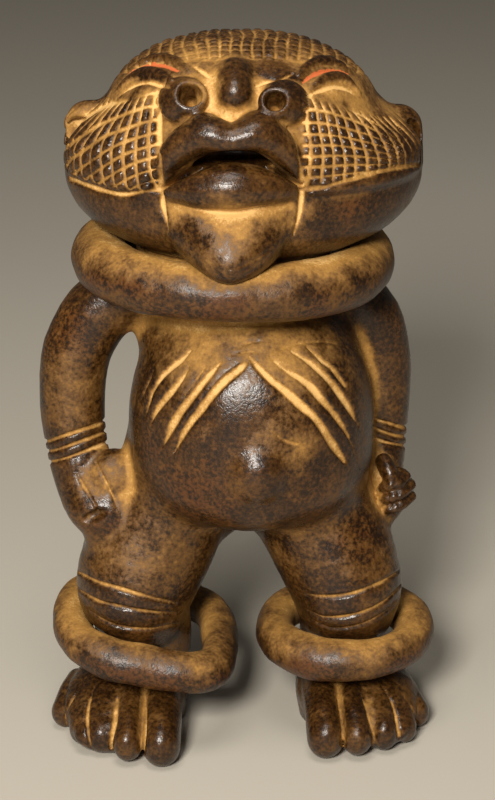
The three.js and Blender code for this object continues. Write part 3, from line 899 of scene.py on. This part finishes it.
# Takes off the loose specks that grooves can leave where they crowd, so that one body stays. Each
# point takes the least number among its neighbours, over and over, until every body has one.
def takeOffSpecks(mesh):
    edges = np.empty(len(mesh.edges) * 2, dtype=np.int32)
    mesh.edges.foreach_get("vertices", edges)
    first, second = edges.reshape(-1, 2).T
    body, spread = None, np.arange(len(mesh.vertices))
    while not np.array_equal(body, spread):
        body = spread.copy()
        least = np.minimum(body[first], body[second])
        np.minimum.at(spread, first, least)
        np.minimum.at(spread, second, least)
        spread = spread[spread]
    loose = body != np.bincount(body).argmax()
    shell = bmesh.new()
    shell.from_mesh(mesh)
    specks = [point for point, isLoose in zip(shell.verts, loose) if isLoose]
    bmesh.ops.delete(shell, geom=specks, context="VERTS")
    shell.to_mesh(mesh)
    shell.free()
    mesh.update()
    report(f"{len(specks)} points of loose specks taken off")


# Every point's place ("co") or its outward direction ("normal").
def atPoints(mesh, kind):
    values = np.empty(len(mesh.vertices) * 3, dtype=np.float32)
    mesh.vertices.foreach_get(kind, values)
    return values.reshape(-1, 3).astype(float)


def setAttribute(mesh, name, values):
    attribute = mesh.attributes.new(name, "FLOAT", "POINT")
    attribute.data.foreach_set("value", np.clip(values, 0, 2).astype(np.float32))


# How crowded each place is: the share of clay within a reach of it, which is a half on flat skin
# and more in a hollow. The block is taken at a third of its fineness and averaged along each axis
# in turn, twice over.
def crowding(clay, places, reach):
    coarse = 3
    solid = np.clip(0.5 - clay.field[::coarse, ::coarse, ::coarse] / (2 * coarse * clay.cube), 0, 1)
    half = max(1, round(reach / (coarse * clay.cube)))
    for axis in (0, 1, 2, 0, 1, 2):
        edges = [(half + 1, half) if side == axis else (0, 0) for side in range(3)]
        sums = np.cumsum(np.pad(solid, edges, mode="edge"), axis=axis)
        ahead = np.take(sums, range(2 * half + 1, sums.shape[axis]), axis=axis)
        behind = np.take(sums, range(0, sums.shape[axis] - 2 * half - 1), axis=axis)
        solid = (ahead - behind) / (2 * half + 1)
    return clay.sample(places, solid, coarse)


# Where the colour differs from the rest: a place in the picture, a radius in mm and an amount. Earth is the
# ochre dust of the ground, bare is dark slip without it, and rust is a warm brown. The kind listed third is
# painted shade: the darkest slip put into the mouth opening, the nostril holes and the chip on the fist,
# where shade falls.
stains = {
    "earth": [[235, 222, 17, 0.9], [232, 262, 10, 0.35], [196, 348, 20, 0.6], [290, 350, 22, 0.6],
              [245, 345, 18, 0.5], [112, 478, 12, 0.6], [208, 92, 9, 0.8], [208, 74, 9, 0.6],
              [258, 90, 6, 0.7], [230, 112, 8, 0.7], [187, 124, 6, 0.5], [285, 130, 6, 0.5],
              [150, 96, 9, 0.7], [128, 84, 9, 0.6], [112, 98, 10, 0.6], [196, 62, 9, 0.5],
              [302, 62, 9, 0.5], [330, 92, 11, 0.8], [356, 100, 11, 0.8], [366, 78, 10, 0.6],
              [312, 96, 8, 0.6], [392, 112, 9, 0.7], [78, 116, 8, 0.6], [60, 385, 18, 0.25],
              [66, 425, 9, 0.25], [300, 452, 10, 0.5], [270, 440, 7, 0.4], [135, 540, 24, 0.3],
              [330, 535, 18, 0.15], [300, 215, 7, 0.4], [370, 350, 14, 0.2], [175, 215, 6, 0.5]],
    "bare": [[110, 208, 20, 0.7], [380, 205, 20, 0.6], [350, 215, 16, 0.5], [185, 488, 26, 0.6],
             [335, 478, 26, 0.7], [230, 415, 16, 0.35], [262, 492, 16, 0.8], [395, 340, 20, 0.6],
             [205, 187, 10, 0.6], [232, 187, 12, 0.6], [262, 187, 10, 0.6], [195, 140, 11, 0.7],
             [225, 135, 11, 0.7], [268, 140, 11, 0.7], [172, 165, 8, 0.7], [291, 165, 8, 0.7],
             [234, 80, 6, 0.8], [234, 95, 8, 0.8], [120, 622, 16, 0.4], [345, 620, 16, 0.4],
             [60, 455, 9, 0.4], [180, 102, 8, 0.6], [290, 104, 8, 0.6], [275, 70, 8, 0.6],
             [203, 232, 7, 0.6], [262, 240, 8, 0.7], [228, 240, 5, 0.4], [245, 268, 6, 0.6]],
    # Painted shade: the mouth opening, the nostril holes and the chip on the fist.
    "paintedHoleShade": [[232, 160, 9, 1], [206, 165, 7, 1], [258, 163, 7, 1], [184, 177, 4, 0.9],
             [281, 173, 4, 0.9], [190, 95.5, 3.6, 1], [275.3, 101.5, 3.2, 1], [98, 524, 8, 0.7]],
    "rust": [[200, 500, 22, 0.7], [120, 540, 20, 0.5], [65, 340, 16, 0.6], [350, 205, 12, 0.6],
             [235, 255, 12, 0.4], [150, 640, 12, 0.4], [350, 540, 18, 0.5], [150, 450, 12, 0.5],
             [400, 330, 16, 0.4], [330, 500, 16, 0.5]],
}


def stainAt(clay, places, kind):
    marks = np.array(stains[kind], dtype=float)
    middles = clay.skinAt(marks[:, :2])
    total = np.zeros(len(places))
    for middle, radius, amount in zip(middles, marks[:, 2], marks[:, 3]):
        gap = np.linalg.norm(places - middle, axis=1)
        total = np.maximum(total, amount * np.exp(-((gap / radius) ** 2)))
    return total


# How much red pigment is left: all of it within a slit's half width.
def pigmentAt(clay, places):
    total = np.zeros(len(places))
    for line in faceLines["slits"]:
        curve = smoothCurve(line, 8)
        for spot, width in zip(clay.skinAt(curve[:, :2]), curve[:, 2]):
            gap = np.linalg.norm(places - spot, axis=1)
            total = np.maximum(total, 1 - smoothStep(0.5 * width, 1.25 * width + 0.3, gap))
    return total


# How earth lies on the figure: how much of it, and the depths, heights or crowding over which it
# comes in or is rubbed off. An unevenness is [mm, wave length in mm, seed].
wear = {
    "all": 0.2, "hair": 0.12,
    "groove": 0.8, "grooveDepths": (0.35, 1.2),
    "ridgeRubbed": 0.75, "ridgeHeights": (0.5, 1.6),
    "hollow": 0.5, "hollowReach": 3.0, "hollowCrowding": (0.515, 0.6),
    "fold": 0.3, "foldReach": 9.0, "foldCrowding": (0.56, 0.7),
    "edgeRubbed": 0.15, "edgeCrowding": (0.5, 0.4),
    # The middle value sets how far the painted shade in the mouth, nostril holes and fist chip takes the
    # earth below none, leaving the darkest slip.
    "bareRubbed": 0.6, "paintedShadeStrength": 0.3, "most": 1.1,
    "uneven": [[0.3, 24, 31], [0.12, 9, 32]],
    "flatSoles": (0.5, 6),  # heights over which the unevenness comes in
}


def unevenness(places, waves):
    return sum(size * wander(*places.T, length, seed) for size, length, seed in waves)


# Marks on every point what the finishes need, shapes the last unevenness of the hand, and stands
# the figure in the frame in metres.
def finishFigure(clay):
    triangles = studio["triangles"]
    mesh = thinned(skinMesh(clay, "whole_skin"), "clay_figure", triangles)
    takeOffSpecks(mesh)
    places, normals = atPoints(mesh, "co"), atPoints(mesh, "normal")
    pressedIn = -clay.sample(places, clay.plain)
    close = crowding(clay, places, wear["hollowReach"])
    wide = crowding(clay, places, wear["foldReach"])
    height = places[:, 2]
    inHair = smoothStep(-4, 0, height + hair["fall"] * places[:, 1] - hair["edge"])
    earth = wear["all"] + wear["hair"] * inHair
    earth = earth + stainAt(clay, places, "earth") - wear["bareRubbed"] * stainAt(clay, places, "bare")
    earth = np.clip(earth, 0, wear["most"])
    earth = earth * (1 - wear["ridgeRubbed"] * smoothStep(*wear["ridgeHeights"], -pressedIn))
    earth = earth + wear["groove"] * smoothStep(*wear["grooveDepths"], pressedIn)
    earth = earth + wear["hollow"] * smoothStep(*wear["hollowCrowding"], close)
    earth = earth + wear["fold"] * smoothStep(*wear["foldCrowding"], wide)
    earth = earth - wear["edgeRubbed"] * smoothStep(*wear["edgeCrowding"], close)
    # Painted shade: the mouth, the nostril holes and the fist's chip lose their earth and show the darkest
    # slip.
    paintedHoleShade = stainAt(clay, places, "paintedHoleShade")
    setAttribute(mesh, "earth", earth * (1 - paintedHoleShade) - wear["paintedShadeStrength"] * paintedHoleShade)
    setAttribute(mesh, "rust", stainAt(clay, places, "rust"))
    setAttribute(mesh, "pigment", pigmentAt(clay, places))
    uneven = unevenness(places, wear["uneven"]) * smoothStep(*wear["flatSoles"], height)
    return stand(mesh, places + normals * uneven[:, None])


def stand(mesh, places):
    places = (places + np.array(studio["stand"])) * studio["millimetre"]
    mesh.vertices.foreach_set("co", places.astype(np.float32).ravel())
    mesh.shade_smooth()
    mesh.update()
    piece = bpy.data.objects.new(mesh.name, mesh)
    bpy.context.collection.objects.link(piece)
    return piece


# A ring over two parameters: u runs round the limb and v round the coil. The middle line is a
# squared ellipse, 1 / (|cos u / across|^p + |sin u / back|^p)^(1/p) from its centre, in a sloping
# plane. The coil is a circle round it whose radius swells and thins by slow waves.
def ringMesh(name, ring):
    around, section = ((340, 80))
    u = (np.arange(around) * 2 * math.pi / around)[:, None]
    v = (np.arange(section) * 2 * math.pi / section)[None, :]
    reach = middleLine(ring, u)
    radius = ring["thickness"] / 2 + swelling(ring, u)
    out = reach + radius * np.cos(v) * (1 + 0 * u)
    x, y = out * np.cos(u), out * np.sin(u)
    z = ring["slope"][0] * x + ring["slope"][1] * y + radius * np.sin(v)
    places = np.stack([x, y, z], axis=-1).reshape(-1, 3) + np.array(ring["centre"])
    spot = np.arange(around * section).reshape(around, section)
    nextU, nextV = np.roll(spot, -1, axis=0), np.roll(spot, -1, axis=1)
    quads = np.stack([spot, nextU, np.roll(nextU, -1, axis=1), nextV], axis=-1).reshape(-1, 4)
    mesh = bpy.data.meshes.new(name)
    mesh.from_pydata(places.tolist(), [], quads.tolist())
    mesh.update()
    return mesh, places


ringWear = {
    "all": 0.16,
    "tops": (-0.1, 0.85),  # how far a place faces up where dust comes in
    "nearFigure": 0.45, "nearCrowding": (0.02, 0.25),
    "cloudy": [[0.2, 30, 43]],
    "rustCloudy": [[0.5, 26, 44]],
    "rustRubbed": (0.2, 0.9),
    "uneven": [[0.35, 17, 41], [0.15, 7, 42]],
    "shrunk": 0.3,
    "polishReach": 16,
}


# The rubbed front of a ring, about one place on it.
def polishAt(ring, places):
    gap = np.linalg.norm(places - np.array(ring["rubbed"]), axis=1)
    return np.exp(-((gap / ringWear["polishReach"]) ** 2))


def addRing(name, ring, clay):
    mesh, places = ringMesh(name, ring)
    normals = atPoints(mesh, "normal")
    uneven = unevenness(places, ringWear["uneven"]) - ringWear["shrunk"]
    moved = places + normals * uneven[:, None]
    up = normals[:, 2]
    earth = ringWear["all"] + ring["dust"] * smoothStep(*ringWear["tops"], up)
    close = crowding(clay, places, wear["foldReach"])
    earth = earth + ringWear["nearFigure"] * smoothStep(*ringWear["nearCrowding"], close)
    earth = earth + unevenness(places, ringWear["cloudy"]) - ring["polish"] * polishAt(ring, moved)
    rust = 0.5 + unevenness(places, ringWear["rustCloudy"]) - 0.5 * smoothStep(*ringWear["rustRubbed"], up)
    setAttribute(mesh, "earth", earth)
    setAttribute(mesh, "rust", rust)
    setAttribute(mesh, "pigment", 0 * up)
    report(f"{name}, {clay.sample(moved).min():.2f} mm clear of the figure")
    return stand(mesh, moved)


# Colours are the red, green and blue that a screen would show, from 0 to 255.
def tone(red, green, blue):
    parts = [(part / 255 / 12.92) if part < 11 else ((part / 255 + 0.055) / 1.055) ** 2.4
             for part in (red, green, blue)]
    return (*parts, 1)


# A value in a material that can be added and multiplied like a number: each step is a Math node.
class Shade:
    def __init__(self, tree, socket=None):
        self.tree, self.socket = tree, socket

    # Any node: its settings go first, and then values or links go to its inputs.
    def node(self, kind, settings=None, inputs=None, output=0):
        added = self.tree.nodes.new(kind)
        for name, value in (settings or {}).items():
            setattr(added, name, value)
        for name, value in (inputs or {}).items():
            if isinstance(value, Shade):
                self.tree.links.new(value.socket, added.inputs[name])
            else:
                added.inputs[name].default_value = value
        return Shade(self.tree, added.outputs[output])

    def math(self, operation, *parts):
        return self.node("ShaderNodeMath", {"operation": operation}, dict(enumerate(parts)))

    def __add__(self, other):
        return self.math("ADD", self, other)

    def __sub__(self, other):
        return self.math("SUBTRACT", self, other)

    def __rsub__(self, other):
        return self.math("SUBTRACT", other, self)

    def __mul__(self, other):
        return self.math("MULTIPLY", self, other)

    __radd__ = __add__
    __rmul__ = __mul__

    # From 0 at the low value to 1 at the high one, smoothly.
    def rise(self, low, high):
        inputs = {"Value": self, "From Min": low, "From Max": high}
        return self.node("ShaderNodeMapRange", {"interpolation_type": "SMOOTHSTEP"}, inputs)

    # Between two colours, by this value.
    def blend(self, first, second):
        return self.node("ShaderNodeMix", {"data_type": "RGBA"}, {0: self, 6: first, 7: second}, 2)

    def attribute(self, name):
        return self.node("ShaderNodeAttribute", {"attribute_name": name}, None, "Fac")

    # Noise over these places, with lumps so many millimetres across.
    def grain(self, size, detail=3.0, roughness=0.55):
        inputs = {"Vector": self, "Scale": 1 / (size * studio["millimetre"]),
                  "Detail": detail, "Roughness": roughness}
        return self.node("ShaderNodeTexNoise", None, inputs)


ringLook = {"bump": 0.75, "burnishedRoughness": 0.4}

clayLook = {
    "slip": tone(28, 14, 4),
    "wornSlip": tone(70, 44, 17),
    "rust": tone(92, 50, 17),
    "brown": tone(95, 64, 25),
    "ochre": tone(158, 115, 52),
    "paleOchre": tone(204, 162, 98),
    "pigment": tone(182, 92, 46),
    "burnishedRoughness": 0.29,
    "earthRoughness": 0.74,
    "shine": 0.4,
    "bump": 0.6,
    "bumpHeight": 0.0006,
}


# Fired clay under a burnished dark slip. Earth lies on it by the piece's own marks, broken up by
# cloudy and fine grain, and takes the shine away where it lies.
def firedClay(name, look):
    material = bpy.data.materials.new(name)
    material.use_nodes = True
    tree = material.node_tree
    shader = tree.nodes["Principled BSDF"]
    start = Shade(tree)
    spots = start.node("ShaderNodeTexCoord", None, None, "Object")
    cloud, patch = spots.grain(16), spots.grain(6)
    grain, speck = spots.grain(1.7, 3, 0.6), spots.grain(0.8, 2)
    earth = start.attribute("earth") + (cloud - 0.5) * 1.0 + (patch - 0.5) * 0.8 + (grain - 0.5) * 0.8
    slip = (cloud * 0.4 + grain * 0.6).rise(0.36, 0.64).blend(look["slip"], look["wornSlip"])
    rusty = (start.attribute("rust") * 0.6 + (patch - 0.5) * 0.8 + (grain - 0.5) * 1.4).rise(0.15, 0.55)
    slip = (rusty * 0.45).blend(slip, look["rust"])
    colour = earth.rise(0.05, 0.6).blend(slip, look["brown"])
    colour = (earth.rise(0.4, 1.05) * 0.9).blend(colour, look["ochre"])
    colour = (earth + (speck - 0.5) * 0.8).rise(0.95, 1.6).blend(colour, look["paleOchre"])
    red = start.attribute("pigment") + (grain - 0.5) * 0.9
    colour = red.rise(0.45, 0.75).blend(colour, look["pigment"])
    dull = earth.rise(0.15, 0.7)
    rough = look["burnishedRoughness"] + (patch - 0.5) * 0.16 + dull * (
        look["earthRoughness"] - look["burnishedRoughness"])
    height = grain * 0.5 + speck * 0.25 + patch * 0.35
    relief = {"Strength": look["bump"], "Distance": look["bumpHeight"], "Height": height}
    bump = start.node("ShaderNodeBump", None, relief)
    for socket, value in (("Base Color", colour), ("Roughness", rough), ("Normal", bump)):
        tree.links.new(value.socket, shader.inputs[socket])
    shader.inputs["Specular IOR Level"].default_value = look["shine"]
    return material


floorLook = {"colour": tone(180, 174, 162), "roughness": 0.7, "reach": 8.0}

lightLook = {
    "key": {"place": (-0.32, -1.45, 1.0), "size": 0.36, "power": 45, "colour": (1.0, 0.95, 0.88)},
    "top": {"place": (-0.1, -0.45, 1.5), "size": 0.6, "power": 9, "colour": (1.0, 0.95, 0.88)},
    "aim": (0.0, 0.0, 0.15),
    "world": (0.9, 0.84, 0.74, 1),
    "worldStrength": 0.1,
}


def addLight(name, look):
    lamp = bpy.data.objects.new(name, bpy.data.lights.new(name, "AREA"))
    bpy.context.collection.objects.link(lamp)
    lamp.data.size, lamp.data.energy, lamp.data.color = look["size"], look["power"], look["colour"]
    lamp.location = look["place"]
    aim = Vector(lightLook["aim"]) - Vector(look["place"])
    lamp.rotation_euler = aim.to_track_quat("-Z", "Y").to_euler()


def addStage():
    reach = floorLook["reach"]
    floor = bpy.data.objects.new("floor", bpy.data.meshes.new("floor"))
    corners = [(-reach, -reach, 0), (reach, -reach, 0), (reach, reach, 0), (-reach, reach, 0)]
    floor.data.from_pydata(corners, [], [(0, 1, 2, 3)])
    bpy.context.collection.objects.link(floor)
    paper = bpy.data.materials.new("floor")
    paper.use_nodes = True
    shader = paper.node_tree.nodes["Principled BSDF"]
    shader.inputs["Base Color"].default_value = floorLook["colour"]
    shader.inputs["Roughness"].default_value = floorLook["roughness"]
    floor.data.materials.append(paper)
    addLight("key", lightLook["key"])
    addLight("top", lightLook["top"])
    world = bpy.data.worlds.new("studio")
    bpy.context.scene.world = world
    world.use_nodes = True
    background = world.node_tree.nodes["Background"]
    background.inputs["Color"].default_value = lightLook["world"]
    background.inputs["Strength"].default_value = lightLook["worldStrength"]


def addCamera():
    camera = bpy.data.objects.new("camera", bpy.data.cameras.new("camera"))
    bpy.context.collection.objects.link(camera)
    bpy.context.scene.camera = camera
    camera.data.sensor_width = 36
    camera.data.lens = photo["focal"] / photo["height"] * 36
    camera.location = (eyePlace + studio["stand"]) * studio["millimetre"]
    camera.rotation_euler = (math.radians(90 - photo["pitch"]), 0, 0)
    bpy.context.scene.view_settings.view_transform = "Standard"


clay = shapeClay()
carveClay(clay)
burnished = firedClay("burnished_clay", clayLook)
ringClay = firedClay("ring_clay", clayLook | ringLook)
figure = finishFigure(clay)
figure.data.materials.append(burnished)
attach(figure, "root")
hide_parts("figure")
for node, ring in rings.items():
    piece = addRing("clay_" + node, ring, clay)
    piece.data.materials.append(ringClay)
    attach(piece, "root")
    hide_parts(node)
addStage()
addCamera()
report("stage")
